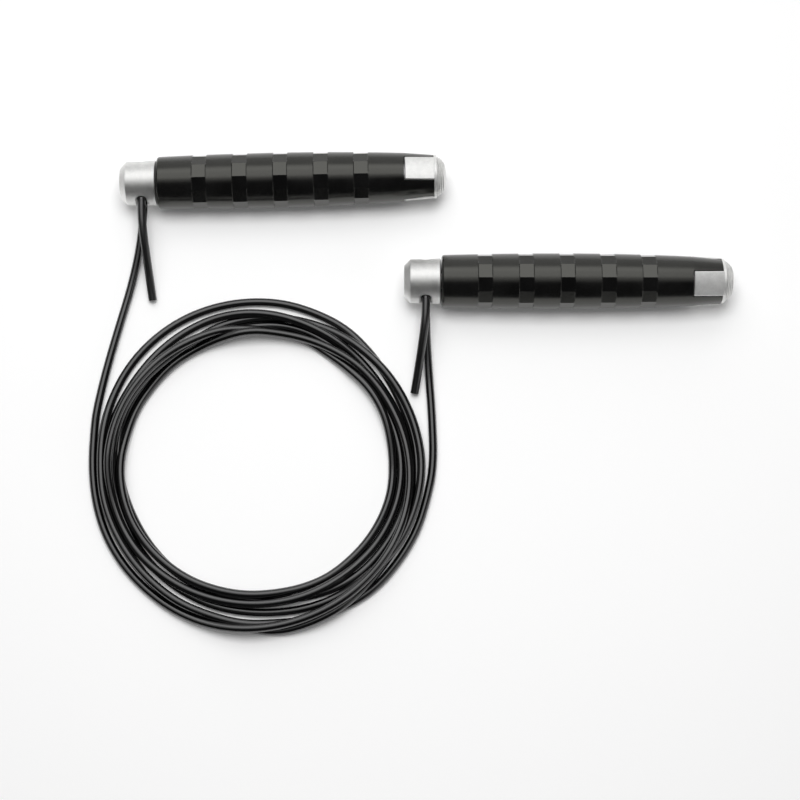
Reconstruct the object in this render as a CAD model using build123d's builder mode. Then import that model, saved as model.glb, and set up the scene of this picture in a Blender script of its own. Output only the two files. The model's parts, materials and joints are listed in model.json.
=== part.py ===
"""Speed jump rope: two ball-bearing handles joined by one plastic rope, lying coiled on a flat surface.

Each handle is drawn once, on its own axis: X runs from the front face of the swivel head (x = 0) to
the butt, and Z is up. Every piece is then written twice, at the place of handle A and of handle B.
The part's origin is the centre of the two handles' box, on the surface that they lie on. Millimetres.
"""

import os
from math import atan, cos, degrees, pi, radians, sin, sqrt, tan

from build123d import *

os.makedirs("parts", exist_ok=True)

# Clearances
RUNNING_GAP = 0.4  # between the head, which turns, and the grip
SEAT_GAP = 0.02  # radial, pressed and bonded seats
THREAD_GAP = 0.05  # radial, screws in their tapped holes
BALL_GAP = 0.05  # radial, balls in their grooves and pockets
TAB_GAP = 0.1  # all round the butt cap's tabs
END_GAP = 0.2  # between the ends of pieces that don't meet
PICK_WITHIN = 0.01  # an edge picked by its radius and place is this near to them

# Rope
ROPE_D = 4.0
COIL_CENTRE = (-77.6, -113.6)
# Radii of the coil's outline, from +X and evenly round
COIL_OUTER_RS = [83.2, 76.9, 79.8, 84.4, 83.5, 83.6, 83.9, 83.6, 83.2, 82.0, 81.5, 81.5]
COIL_INNER_RS = [61.6, 61.8, 63.3, 65.0, 65.0, 65.5, 65.3, 65.0, 62.6, 60.4, 60.4, 60.8]
COIL_HEIGHT = 10.0
COIL_EDGE = 1.5
COIL_TURNS = 6.5
BEND_SHARE = 0.45  # of the shorter run, taken up by each bend of a loose stretch

# Swivel head
HEAD_LENGTH = 17.6
HEAD_STEP = 1.7  # radial, from the grip's front edge down to the head
HEAD_TAPER = 0.4  # radial, from the head's rear to its front
HEAD_CHAMFER = 3.0
HEAD_REAR_CHAMFER = 0.5
BOSS_WALL = 1.2  # round the axle, where the head meets the inner race
SLOT_X = 10.4  # centre of the rope slot behind the front face
SLOT_WIDTH = 4.6
SLOT_SLACK = 0.2  # above and below the folded rope
SLOT_LIP = 0.8

# Clamp screw, whose dog point the rope folds round
CLAMP_D = 10.0
CLAMP_RECESS = 0.8
CLAMP_SOCKET_AF = 5.0
CLAMP_SOCKET_DEPTH = 4.0
CLAMP_CHAMFER = 0.5
DOG_D = 3.0
DOG_SEAT = 2.2  # depth of the dog point's seat in the axle's flange

# Axle, with the nut and washer that hold the bearings on it
AXLE_D = 5.0
AXLE_CHAMFER = 0.5
AXLE_END = 1.0  # thread that shows past the nut
FLANGE_STEP = 1.6  # radial, past the axle's shank
FLANGE_THICKNESS = 3.0
WASHER_STEP = 1.7  # radial, past the axle's shank
WASHER_THICKNESS = 1.0
NUT_AF = 8.0
NUT_THICKNESS = 5.0

# Ball bearings, which set how thick the whole handle is
BEARING_D = 16.0
BEARING_WIDTH = 5.0
BALL_SHARE = 0.175  # diameter of a ball, for each millimetre of the bearing's
BALL_COUNT = 7
LAND_SHARE = 0.05625  # from the balls' pitch circle to the races' lands, for each millimetre of BEARING_D
CAGE_WALL = 1.2
CAGE_WIDTH = 3.6
RACE_CHAMFER = 0.3
BEARING_SPACING = 6.0  # length of the two spacers between the bearings
SPACER_WALL = 1.1

# Core tube and the retaining ring in its mouth
TUBE_WALL = 1.0  # round the bearings
TUBE_SHOULDER = 1.5  # radial, behind the bearings
TUBE_INSET = 0.6  # front end behind the grip's front face
RING_GROOVE_SETBACK = 1.0
RING_GROOVE_DEPTH = 0.4
RING_THICKNESS = 1.0
RING_WIDTH = 1.3
RING_OPENING = 3.6
RING_EAR_D = 2.6
RING_EAR_HOLE_D = 1.2

# Grip: a barrel with rings of milled flats
GRIP_LENGTH = 134.5
GRIP_CREST_AT = 56.0  # behind the grip's front face
GRIP_FRONT_STEP = 0.8  # radial, from the crest down to the front edge
GRIP_SHOULDER_STEP = 1.5  # radial, from the crest down to where the tabs start
GRIP_REAR_STEP = 2.8  # radial, from the crest down to the rear edge
GRIP_WALL = 4.4  # at the crest, over the core tube
GRIP_FRONT_ROUND = 1.2
RING_COUNT = 5
RING_FIRST_AT = 17.3
RING_PITCH = 19.6
FLAT_LENGTH = 6.9
FLATS_PER_RING = 12
RING_SINK = 0.3  # radial, from the barrel to the corners between flats

# Butt cap: tabs let into the grip, a collar, a groove and a domed nose
TAB_COUNT = 3
TAB_LENGTH = 14.2
TAB_WIDTH = 12.0
TAB_SET_IN = 0.6  # radial, from the barrel's outline to the middle of a tab
TAB_CROWN_R = 30.0  # of each tab's milled top, across its width
COLLAR_LENGTH = 1.9
COLLAR_GROOVE = 0.5
NOSE_LENGTH = 6.0  # collar and dome together
DOME_STEP = 0.5  # radial, from the collar down to the dome
NOSE_DROP = 3.6  # radial, from the dome's start to the flat nose
SPIGOT_LENGTH = 3.3
CAP_HOLE_D = 4.3

# End plug and the screw that holds the butt cap to it
PLUG_LENGTH = 12.0
SCREW_D = 4.0
SCREW_LENGTH = 14.0
SCREW_HEAD_D = 7.0
SCREW_HEAD_HEIGHT = 2.6
SCREW_HEAD_RECESS = 0.5
SCREW_HEAD_CLEARANCE = 0.2
SCREW_SOCKET_AF = 2.5
SCREW_SOCKET_DEPTH = 1.6

# Layout of the pair
PAIR_LENGTH = 296.5  # from the front face of handle A to the butt of handle B
AXIS_SPACING = 51.4  # between the two axes, at the crest of grip A
TILT_A = 1.4  # degrees that handle A is turned, seen from above
ROLL_A = -6.0  # degrees that each grip has rolled about its axis
ROLL_B = 23.5

# Diameters that follow from the bearings and from the axle
pitch_r = (BEARING_D + AXLE_D) / 4
ball_d = BALL_SHARE * BEARING_D
land_offset = LAND_SHARE * BEARING_D
tube_d = BEARING_D + 2 * TUBE_WALL
tube_bore = BEARING_D - 2 * TUBE_SHOULDER
grip_crest_d = tube_d + 2 * GRIP_WALL
grip_front_d = grip_crest_d - 2 * GRIP_FRONT_STEP
grip_shoulder_d = grip_crest_d - 2 * GRIP_SHOULDER_STEP
grip_rear_d = grip_crest_d - 2 * GRIP_REAR_STEP
head_rear_d = grip_front_d - 2 * HEAD_STEP
head_front_d = head_rear_d - 2 * HEAD_TAPER
boss_d = AXLE_D + 2 * BOSS_WALL
flange_d = AXLE_D + 2 * FLANGE_STEP
washer_d = AXLE_D + 2 * WASHER_STEP
dome_d = grip_rear_d - 2 * DOME_STEP
nose_face_d = dome_d - 2 * NOSE_DROP

# Stations along a handle's axis
grip_start = HEAD_LENGTH + RUNNING_GAP
grip_end = grip_start + GRIP_LENGTH
handle_length = grip_end + NOSE_LENGTH
tab_start = grip_end - TAB_LENGTH
tube_start = grip_start + TUBE_INSET
ring_start = tube_start + RING_GROOVE_SETBACK
bearing_start = {"front": ring_start + RING_THICKNESS}
bearing_start["rear"] = bearing_start["front"] + BEARING_WIDTH + BEARING_SPACING
bearings_end = bearing_start["rear"] + BEARING_WIDTH
nut_start = bearings_end + WASHER_THICKNESS
slot_rear = SLOT_X + SLOT_WIDTH / 2
flange_end = slot_rear + FLANGE_THICKNESS
clamp_end = SLOT_X - ROPE_D / 2
tube_end = grip_end - END_GAP
spigot_start = grip_end - SPIGOT_LENGTH
plug_end = spigot_start - END_GAP
screw_seat = handle_length - SCREW_HEAD_RECESS - SCREW_HEAD_HEIGHT

# The rope's fold round the dog point
fold_r = (DOG_D + ROPE_D) / 2
slot_height = 2 * fold_r + ROPE_D + 2 * SLOT_SLACK
mouth_y = -sqrt((head_front_d / 2) ** 2 - fold_r**2)


def barrel_radius(setback):
    """Radius of the grip's barrel at a distance behind its front face: two arcs that meet at the crest."""
    if setback < GRIP_CREST_AT:
        reach, drop = GRIP_CREST_AT, (grip_crest_d - grip_front_d) / 2
    else:
        reach, drop = GRIP_LENGTH - TAB_LENGTH - GRIP_CREST_AT, (grip_crest_d - grip_shoulder_d) / 2
    arc_r = (reach**2 + drop**2) / (2 * drop)
    return grip_crest_d / 2 - arc_r + sqrt(arc_r**2 - (setback - GRIP_CREST_AT) ** 2)


def sleeve(start, end, inner_r, outer_r, mode=Mode.ADD):
    """A plain turned ring on the handle's axis, or a disc where inner_r is 0."""
    with BuildSketch(Plane.YZ.offset(start)) as section:
        Circle(outer_r)
        if inner_r > 0:
            Circle(inner_r, mode=Mode.SUBTRACT)
    extrude(section.sketch, amount=end - start, mode=mode)


def hex_socket(start, across_flats, depth):
    """Cuts a hexagon socket from a face at start, into the piece along the handle's axis."""
    with BuildSketch(Plane.YZ.offset(start)) as hexagon:
        RegularPolygon(across_flats / 2, 6, major_radius=False)
    extrude(hexagon.sketch, amount=depth, mode=Mode.SUBTRACT)


def circle_at(face_x, radius):
    """Selects the round edges of the part in hand that lie at face_x with the given radius."""
    edges = BuildPart._get_context().edges().filter_by(GeomType.CIRCLE)
    placed = edges.filter_by(lambda e: abs(e.center().X - face_x) < PICK_WITHIN)
    return placed.filter_by(lambda e: abs(e.radius - radius) < PICK_WITHIN)


turning = {}  # pieces that turn with the head
gripped = {}  # pieces that turn with the grip

# Swivel head, turned from bar, with the rope slot milled through it
with BuildPart() as head:
    with BuildSketch(Plane.XY):
        with BuildLine():
            Polyline(
                (0, 0),
                (0, head_front_d / 2 - HEAD_CHAMFER),
                (HEAD_CHAMFER, head_front_d / 2),
                (HEAD_LENGTH - HEAD_REAR_CHAMFER, head_rear_d / 2),
                (HEAD_LENGTH, head_rear_d / 2 - HEAD_REAR_CHAMFER),
                (HEAD_LENGTH, boss_d / 2),
                (bearing_start["front"], boss_d / 2),
                (bearing_start["front"], 0),
                close=True,
            )
        make_face()
    revolve(axis=Axis.X)
    with BuildSketch(Plane.XZ):
        with Locations((SLOT_X, 0)):
            SlotOverall(slot_height, SLOT_WIDTH, rotation=90)
    extrude(amount=head_rear_d / 2, both=True, mode=Mode.SUBTRACT)
    side = head.faces().sort_by(SortBy.AREA)[-1]
    chamfer([e for mouth in side.inner_wires() for e in mouth.edges()], SLOT_LIP)
    sleeve(0, clamp_end, 0, CLAMP_D / 2 + THREAD_GAP, Mode.SUBTRACT)
    sleeve(slot_rear, flange_end, 0, flange_d / 2 + SEAT_GAP, Mode.SUBTRACT)
    sleeve(flange_end, bearing_start["front"], 0, AXLE_D / 2 + SEAT_GAP, Mode.SUBTRACT)
turning["head"] = head

# Clamp screw: a socket screw whose dog point crosses the slot inside the rope's fold
with BuildPart() as clamp_screw:
    sleeve(CLAMP_RECESS, clamp_end, 0, CLAMP_D / 2)
    chamfer(circle_at(clamp_end, CLAMP_D / 2), CLAMP_CHAMFER)
    sleeve(clamp_end, slot_rear + DOG_SEAT, 0, DOG_D / 2)
    hex_socket(CLAMP_RECESS, CLAMP_SOCKET_AF, CLAMP_SOCKET_DEPTH)
turning["clamp_screw"] = clamp_screw

# Axle: its flange sits behind the slot, and its shank carries both bearings
with BuildPart() as axle:
    sleeve(slot_rear, flange_end, 0, flange_d / 2)
    sleeve(flange_end, nut_start + NUT_THICKNESS + AXLE_END, 0, AXLE_D / 2)
    chamfer(circle_at(nut_start + NUT_THICKNESS + AXLE_END, AXLE_D / 2), AXLE_CHAMFER)
    sleeve(slot_rear, slot_rear + DOG_SEAT + END_GAP, 0, DOG_D / 2 + THREAD_GAP, Mode.SUBTRACT)
turning["axle"] = axle

with BuildPart() as axle_washer:
    sleeve(bearings_end, nut_start, AXLE_D / 2 + THREAD_GAP, washer_d / 2)
turning["axle_washer"] = axle_washer

with BuildPart() as lock_nut:
    with BuildSketch(Plane.YZ.offset(nut_start)):
        RegularPolygon(NUT_AF / 2, 6, major_radius=False)
        Circle(AXLE_D / 2 + THREAD_GAP, mode=Mode.SUBTRACT)
    extrude(amount=NUT_THICKNESS)
turning["lock_nut"] = lock_nut

with BuildPart() as inner_spacer:
    spacer_start = bearing_start["front"] + BEARING_WIDTH
    sleeve(spacer_start, bearing_start["rear"], AXLE_D / 2 + SEAT_GAP, AXLE_D / 2 + SPACER_WALL)
turning["inner_spacer"] = inner_spacer

with BuildPart() as outer_spacer:
    outer_r = BEARING_D / 2 - SEAT_GAP
    sleeve(spacer_start, bearing_start["rear"], outer_r - SPACER_WALL, outer_r)
gripped["outer_spacer"] = outer_spacer


def race(start, inner_r, outer_r, corner_r):
    """A bearing race: a ring with rounded outside corners and a groove for the balls."""
    middle = start + BEARING_WIDTH / 2
    with BuildPart() as ring:
        with BuildSketch(Plane.XY):
            with Locations((middle, (inner_r + outer_r) / 2)):
                Rectangle(BEARING_WIDTH, outer_r - inner_r)
            with Locations((middle, pitch_r)):
                Circle(ball_d / 2 + BALL_GAP, mode=Mode.SUBTRACT)
        revolve(axis=Axis.X)
        corners = circle_at(start, corner_r) + circle_at(start + BEARING_WIDTH, corner_r)
        chamfer(corners, RACE_CHAMFER)
    return ring


rolling = {}  # balls and cages, which roll round between the races
for place, start in bearing_start.items():
    bore_r = AXLE_D / 2 + SEAT_GAP
    rim_r = BEARING_D / 2 - SEAT_GAP
    turning[f"{place}_inner_race"] = race(start, bore_r, pitch_r - land_offset, bore_r)
    gripped[f"{place}_outer_race"] = race(start, pitch_r + land_offset, rim_r, rim_r)
    ball_plane = Plane.YZ.offset(start + BEARING_WIDTH / 2)

    with BuildPart() as balls:
        with Locations(ball_plane), PolarLocations(pitch_r, BALL_COUNT):
            Sphere(ball_d / 2)
    rolling[f"{place}_balls"] = balls

    with BuildPart() as cage:
        with BuildSketch(ball_plane):
            Circle(pitch_r + CAGE_WALL / 2)
            Circle(pitch_r - CAGE_WALL / 2, mode=Mode.SUBTRACT)
        extrude(amount=CAGE_WIDTH / 2, both=True)
        with Locations(ball_plane), PolarLocations(pitch_r, BALL_COUNT):
            Cylinder(ball_d / 2 + BALL_GAP, 2 * CAGE_WALL, rotation=(0, 90, 0), mode=Mode.SUBTRACT)
    rolling[f"{place}_cage"] = cage

# Core tube: bearing seat and retaining groove at the front, plug seat at the rear
with BuildPart() as core_tube:
    seat_r = BEARING_D / 2
    sleeve(tube_start, tube_end, tube_bore / 2, tube_d / 2)
    sleeve(tube_start, bearings_end, 0, seat_r, Mode.SUBTRACT)
    sleeve(ring_start, ring_start + RING_THICKNESS, 0, seat_r + RING_GROOVE_DEPTH, Mode.SUBTRACT)
gripped["core_tube"] = core_tube

# Retaining ring: an open spring ring with an eared end each side of its gap
with BuildPart() as retaining_ring:
    ring_r = seat_r + RING_GROOVE_DEPTH - SEAT_GAP
    ear_r = ring_r - RING_GROOVE_DEPTH - SEAT_GAP - RING_EAR_D / 2
    ear_angle = degrees((RING_OPENING + RING_EAR_D + RING_WIDTH) / 2 / ear_r)
    with BuildSketch(Plane.YZ.offset(ring_start)):
        Circle(ring_r)
        Circle(ring_r - RING_WIDTH, mode=Mode.SUBTRACT)
        with Locations((0, -ring_r)):
            Rectangle(RING_OPENING, 4 * RING_WIDTH, mode=Mode.SUBTRACT)
        with PolarLocations(ear_r, 2, start_angle=-90 - ear_angle, angular_range=4 * ear_angle):
            Circle(RING_EAR_D / 2)
        with PolarLocations(ear_r, 2, start_angle=-90 - ear_angle, angular_range=4 * ear_angle):
            Circle(RING_EAR_HOLE_D / 2, mode=Mode.SUBTRACT)
    extrude(amount=RING_THICKNESS)
gripped["retaining_ring"] = retaining_ring

# Grip: the barrel's outline turned round the axis, five rings of flats, and a slot for each tab
with BuildPart() as grip:
    crest = (grip_start + GRIP_CREST_AT, grip_crest_d / 2)
    bore_r = tube_d / 2 + SEAT_GAP
    with BuildSketch(Plane.XY):
        with BuildLine():
            Line((grip_start, bore_r), (grip_start, grip_front_d / 2))
            TangentArc(crest, (grip_start, grip_front_d / 2), tangent=(-1, 0))
            TangentArc(crest, (tab_start, grip_shoulder_d / 2), tangent=(1, 0))
            Line((tab_start, grip_shoulder_d / 2), (grip_end, grip_rear_d / 2))
            Polyline((grip_end, grip_rear_d / 2), (grip_end, bore_r), (grip_start, bore_r))
        make_face()
    revolve(axis=Axis.X)
    fillet(circle_at(grip_start, grip_front_d / 2), GRIP_FRONT_ROUND)
    for ring in range(RING_COUNT):
        flat_at = RING_FIRST_AT + ring * RING_PITCH
        with BuildSketch(Plane.YZ.offset(grip_start + flat_at)):
            Circle(grip_crest_d)
            corner_r = barrel_radius(flat_at + FLAT_LENGTH / 2) - RING_SINK
            flat_on_top = 90 + 180 / FLATS_PER_RING
            RegularPolygon(corner_r, FLATS_PER_RING, rotation=flat_on_top, mode=Mode.SUBTRACT)
        extrude(amount=FLAT_LENGTH, mode=Mode.SUBTRACT)
    with BuildSketch(Plane.YZ.offset(tab_start)):
        with PolarLocations(grip_crest_d / 2, TAB_COUNT, start_angle=90):
            Rectangle(grip_crest_d, TAB_WIDTH)
        Circle(bore_r, mode=Mode.SUBTRACT)
    extrude(amount=TAB_LENGTH, mode=Mode.SUBTRACT)
gripped["grip"] = grip

# Butt cap: each tab has a nearly flat milled top that falls with the grip's taper
with BuildPart() as butt_cap:
    tab_r = bore_r + TAB_GAP
    slope = (grip_shoulder_d - grip_rear_d) / 2 / TAB_LENGTH
    with BuildSketch(Plane.XY):
        with BuildLine():
            Polyline(
                (tab_start + TAB_GAP, tab_r),
                (tab_start + TAB_GAP, grip_crest_d / 2),
                (grip_end, grip_crest_d / 2),
                (grip_end, tab_r),
                close=True,
            )
        make_face()
    revolve(axis=Axis.X)
    with BuildSketch(Plane.YZ.offset(tab_start)):
        with PolarLocations(grip_crest_d / 2, TAB_COUNT, start_angle=90):
            Rectangle(grip_crest_d, TAB_WIDTH - 2 * TAB_GAP)
    extrude(amount=TAB_LENGTH, mode=Mode.INTERSECT)
    crown_offset = TAB_CROWN_R - (grip_shoulder_d / 2 - TAB_SET_IN)
    with BuildSketch(Plane.YZ.offset(tab_start)):
        for tab in range(TAB_COUNT):
            with PolarLocations(crown_offset, 1, start_angle=270 + tab * 360 / TAB_COUNT):
                Circle(TAB_CROWN_R, mode=Mode.INTERSECT if tab else Mode.ADD)
    extrude(amount=TAB_LENGTH, taper=degrees(atan(slope)), mode=Mode.INTERSECT)
    with BuildSketch(Plane.XY):
        with BuildLine():
            dome_start = (grip_end + COLLAR_LENGTH + COLLAR_GROOVE, dome_d / 2)
            nose_edge = (handle_length, nose_face_d / 2)
            Polyline(
                (grip_end, 0),
                (grip_end, grip_rear_d / 2),
                (grip_end + COLLAR_LENGTH, grip_rear_d / 2),
                (grip_end + COLLAR_LENGTH, dome_d / 2 - COLLAR_GROOVE),
                (grip_end + COLLAR_LENGTH + COLLAR_GROOVE, dome_d / 2 - COLLAR_GROOVE),
                dome_start,
            )
            TangentArc(dome_start, nose_edge, tangent=(1, 0))
            Polyline(nose_edge, (handle_length, 0), (grip_end, 0))
        make_face()
    revolve(axis=Axis.X)
    sleeve(spigot_start, grip_end, 0, tube_bore / 2 - SEAT_GAP)
    sleeve(spigot_start, handle_length, 0, CAP_HOLE_D / 2, Mode.SUBTRACT)
    sleeve(screw_seat, handle_length, 0, SCREW_HEAD_D / 2 + SCREW_HEAD_CLEARANCE, Mode.SUBTRACT)
gripped["butt_cap"] = butt_cap

with BuildPart() as end_plug:
    sleeve(plug_end - PLUG_LENGTH, plug_end, SCREW_D / 2 + THREAD_GAP, tube_bore / 2 - SEAT_GAP)
gripped["end_plug"] = end_plug

with BuildPart() as cap_screw:
    sleeve(screw_seat, screw_seat + SCREW_HEAD_HEIGHT, 0, SCREW_HEAD_D / 2)
    sleeve(screw_seat - SCREW_LENGTH, screw_seat, 0, SCREW_D / 2)
    socket_start = screw_seat + SCREW_HEAD_HEIGHT - SCREW_SOCKET_DEPTH
    hex_socket(socket_start, SCREW_SOCKET_AF, SCREW_SOCKET_DEPTH)
gripped["cap_screw"] = cap_screw

# The rope inside a head: in over the dog point and out again under it
with BuildPart() as rope_fold:
    with BuildLine() as fold_path:
        upper = (SLOT_X, 0, fold_r)
        lower = (SLOT_X, 0, -fold_r)
        Line((SLOT_X, mouth_y, fold_r), upper)
        ThreePointArc(upper, (SLOT_X, fold_r, 0), lower)
        Line(lower, (SLOT_X, mouth_y, -fold_r))
    with BuildSketch(Plane(origin=fold_path.line @ 0, z_dir=fold_path.line % 0)):
        Circle(ROPE_D / 2)
    sweep(path=fold_path.wire())
turning["rope_fold"] = rope_fold


def write(piece, name):
    """Labels one piece and writes its STEP file."""
    piece.label = name
    export_step(piece, f"parts/{name}.step")


# Handles lie on the crests of their grips
axis_height = grip_crest_d / 2
crest_at = grip_start + GRIP_CREST_AT
front_a = (-PAIR_LENGTH / 2, AXIS_SPACING / 2 - crest_at * sin(radians(TILT_A)), axis_height)
front_b = (PAIR_LENGTH / 2 - handle_length, -AXIS_SPACING / 2, axis_height)
head_places = {"a": Location(front_a, (0, 0, TILT_A)), "b": Location(front_b)}
rolls = {"a": Location((0, 0, 0), (ROLL_A, 0, 0)), "b": Location((0, 0, 0), (ROLL_B, 0, 0))}
for side, head_place in head_places.items():
    for name, piece in turning.items():
        write(piece.part.moved(head_place), f"{name}_{side}")
    for name, piece in (gripped | rolling).items():
        write(piece.part.moved(head_place * rolls[side]), f"{name}_{side}")

# Loose stretches of the rope, as points chosen along it: from each head down to the coil, and to
# each cut end. The lead lies under the tail where both leave the head.
routes = {
    "rope_lead_a": [
        (-137.6, 14.2, 9.9),
        (-137.5, 5.5, 9.9),
        (-139.6, -9.5, 5.8),
        (-143.4, -26.0, 2.5),
        (-148.8, -46.0, 2.0),
        (-154.0, -67.0, 2.1),
        (-157.8, -87.0, 2.8),
        (-159.2, -104.0, 4.0),
    ],
    "rope_tail_a": [
        (-137.6, 14.2, 16.9),
        (-137.4, 6.0, 16.9),
        (-136.3, -4.5, 13.6),
        (-134.8, -16.0, 8.0),
        (-133.6, -25.0, 4.3),
        (-132.6, -32.0, 2.1),
    ],
    "rope_lead_b": [
        (0.2, -35.6, 9.9),
        (0.2, -44.0, 9.9),
        (0.8, -57.0, 6.0),
        (1.9, -73.0, 2.8),
        (3.1, -90.0, 2.7),
        (3.9, -106.0, 4.2),
    ],
    "rope_tail_b": [
        (0.2, -35.6, 16.9),
        (0.1, -43.8, 16.9),
        (-1.2, -54.0, 13.5),
        (-2.9, -64.5, 8.2),
        (-4.2, -72.5, 4.6),
        (-5.3, -78.6, 2.3),
    ],
}
rope_section = pi * ROPE_D**2 / 4
loose_length = 0
for name, points in routes.items():
    corners = [Vector(*point) for point in points]
    runs = [end - start for start, end in zip(corners, corners[1:])]
    bends = []
    for before, after in zip(runs, runs[1:]):
        half_turn = radians(before.get_angle(after)) / 2
        bends.append(BEND_SHARE * min(before.length, after.length) / tan(half_turn))
    with BuildPart() as tube:
        with BuildLine() as path:
            FilletPolyline(*corners, radius=bends)
        with BuildSketch(Plane(origin=path.line @ 0, z_dir=path.line % 0)):
            Circle(ROPE_D / 2)
        sweep(path=path.wire())
    write(tube.part, name)
    tube_length = path.wire().length
    loose_length += tube_length
    fullness = tube.part.volume / (rope_section * tube_length)
    print(f"{name}: {tube_length:.1f} long, volume / section x length {fullness:.4f}")
    print("  runs", [round(run.length, 1) for run in runs], "radii", [round(bend) for bend in bends])


def coil_outline(radii):
    """A closed smooth curve round the coil's centre, through one point for each radius."""
    step = 2 * pi / len(radii)
    return Spline(*[(r * cos(i * step), r * sin(i * step)) for i, r in enumerate(radii)], periodic=True)


# Coil: the outer shape of the loose turns, fuller where the two leads join it
with BuildPart() as rope_coil:
    with BuildSketch(Plane((*COIL_CENTRE, 0))):
        with BuildLine():
            coil_outline(COIL_OUTER_RS)
        make_face()
        with BuildLine():
            coil_outline(COIL_INNER_RS)
        make_face(mode=Mode.SUBTRACT)
    extrude(amount=COIL_HEIGHT)
    chamfer(rope_coil.edges().group_by(Axis.Z)[-1], COIL_EDGE)
write(rope_coil.part, "rope_coil")

coil_mean_r = sum(COIL_OUTER_RS + COIL_INNER_RS) / len(COIL_OUTER_RS + COIL_INNER_RS)
coil_length = COIL_TURNS * 2 * pi * coil_mean_r
fold_length = 2 * fold_path.wire().length
print(f"rope: {(loose_length + coil_length + fold_length) / 1000:.2f} m from cut end to cut end")
print(f"cages turn {(pitch_r + ball_d / 2) / (2 * pitch_r):.4f} of a turn for each turn of the grip")
print(f"handles {handle_length:.1f} long, front faces at {front_a} and {front_b}")
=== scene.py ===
import json
import math
import bmesh
import bpy
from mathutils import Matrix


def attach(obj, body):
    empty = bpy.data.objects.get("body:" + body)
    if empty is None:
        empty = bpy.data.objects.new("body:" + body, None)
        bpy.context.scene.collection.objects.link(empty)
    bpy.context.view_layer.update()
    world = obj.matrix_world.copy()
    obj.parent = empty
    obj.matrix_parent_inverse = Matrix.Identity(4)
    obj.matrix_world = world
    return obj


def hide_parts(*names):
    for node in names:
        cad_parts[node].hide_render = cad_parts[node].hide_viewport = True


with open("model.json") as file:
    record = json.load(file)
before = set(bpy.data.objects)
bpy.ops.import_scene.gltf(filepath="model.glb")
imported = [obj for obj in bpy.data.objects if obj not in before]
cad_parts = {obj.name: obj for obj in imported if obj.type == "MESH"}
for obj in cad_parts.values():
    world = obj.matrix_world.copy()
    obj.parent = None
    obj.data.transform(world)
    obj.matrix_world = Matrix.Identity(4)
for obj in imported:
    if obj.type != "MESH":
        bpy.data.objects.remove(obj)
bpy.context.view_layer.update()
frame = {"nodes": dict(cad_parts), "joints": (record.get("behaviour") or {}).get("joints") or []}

# A jump rope: two handles whose grips turn on bearings behind their heads, and one rope between
# them in a loose coil. X runs along the handles, Y to the far side of the bench, and Z up from it.
# Handle A lies at the far left, and handle B nearer and to the right. Sizes are in metres, unless
# they are said to be in millimetres.
MM_PER_M = 1000

# Handles: a grip turns about a joint in its front face, this far behind the front of its head.
# The turn is the handle's own in plan, and the roll is the grip's about its axis
GRIP_FRONT = 0.018
GRIP_SPIN = {joint["name"][-1]: joint for joint in frame["joints"]
             if joint["name"].startswith("grip_spin_")}
HEAD_FRONT = {side: [place - GRIP_FRONT * along
                     for place, along in zip(joint["pos_m"], joint["axis"])]
              for side, joint in GRIP_SPIN.items()}
PLAN_TURN = {side: math.atan2(joint["axis"][1], joint["axis"][0])
             for side, joint in GRIP_SPIN.items()}
GRIP_ROLL = {"a": math.radians(-6.0), "b": math.radians(23.5)}

# Grips: the sizes and counts of the rule that shapes them. A step along is a quarter of a
# millimetre. Edges that bend more than the crisp angle, in radians, aren't shaded smooth, and
# points nearer to each other than the weld are one
GRIP_SIZES = {
    "Length": 0.1345, "Crest Radius": 0.0134, "Crest At": 0.056, "Front Radius": 0.0126,
    "Shoulder Radius": 0.0119, "Rear Radius": 0.0106, "Taper Length": 0.0142,
    "Bore Radius": 0.00902, "Front Round": 0.0012, "First Ring": 0.0173, "Ring Pitch": 0.0196,
    "Flat Length": 0.0069, "Ring Sink": 0.0001, "Slot Width": 0.0124, "Slot Start": 0.1199,
    "Slot Floor": 0.0075, "Slot Overrun": 0.002,
}
GRIP_COUNTS = {"Rings": 5, "Flats": 12, "Slots": 3, "Steps Along": 538, "Steps Round": 144}
GRIP_END = GRIP_FRONT + GRIP_SIZES["Length"]
GRIP_CRISP_ANGLE = 0.49
WELD = 0.000001

# Butt caps: a collar and a ridged dome turned to one outline, with a keyed tab for each slot of
# the grip. Millimetres, counted from the grip's rear face and from the axis, but for the edge
CAP_OUTLINE = [
    (0.0, 6.48), (0.0, 10.6), (1.4, 10.6), (1.55, 9.3), (1.8, 9.3), (1.9, 9.75), (2.35, 9.5),
    (2.45, 8.75), (2.7, 8.7), (2.8, 9.25), (3.25, 8.9), (3.35, 8.05), (3.6, 8.0), (3.7, 8.55),
    (4.15, 8.05), (4.25, 7.1), (4.5, 7.05), (4.6, 7.6), (5.0, 6.9), (5.4, 5.9), (5.7, 4.8),
    (5.85, 3.75), (2.9, 3.75), (2.9, 2.15), (-3.3, 2.15), (-3.3, 6.48),
]
TAB_START = -14.1
TAB_END = 0.2
TAB_TOP_START = 11.33
TAB_TOP_END = 10.35
TAB_UNDERSIDE = 9.12
TAB_HALF_WIDTH = 5.9
TAB_CROWN = 23.0
TAB_CHAMFER = 0.3
TAB_STEPS_ACROSS = 12
CAP_STEPS_ROUND = 120
CAP_CRISP_ANGLE = 0.5
CAP_BROKEN_EDGE = 0.0001
CAP_BROKEN_ANGLE = math.radians(60.0)

# Finishes: the scaling that draws a grain out round a turned part, and the stretch of a cloudy
# noise over which a colour or a gloss drifts from one end of its range to the other
EVEN = (1.0, 1.0, 1.0)
TURNED = (1.0, 0.03, 0.03)
COLOUR_DRIFT = (0.35, 0.65)
GLOSS_DRIFT = (0.3, 0.7)
WARM_GLOSS = (1.0, 0.998, 0.92, 1.0)
HEAD_BARE_METAL = 1.0
CAP_BARE_METAL = 0.72

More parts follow.
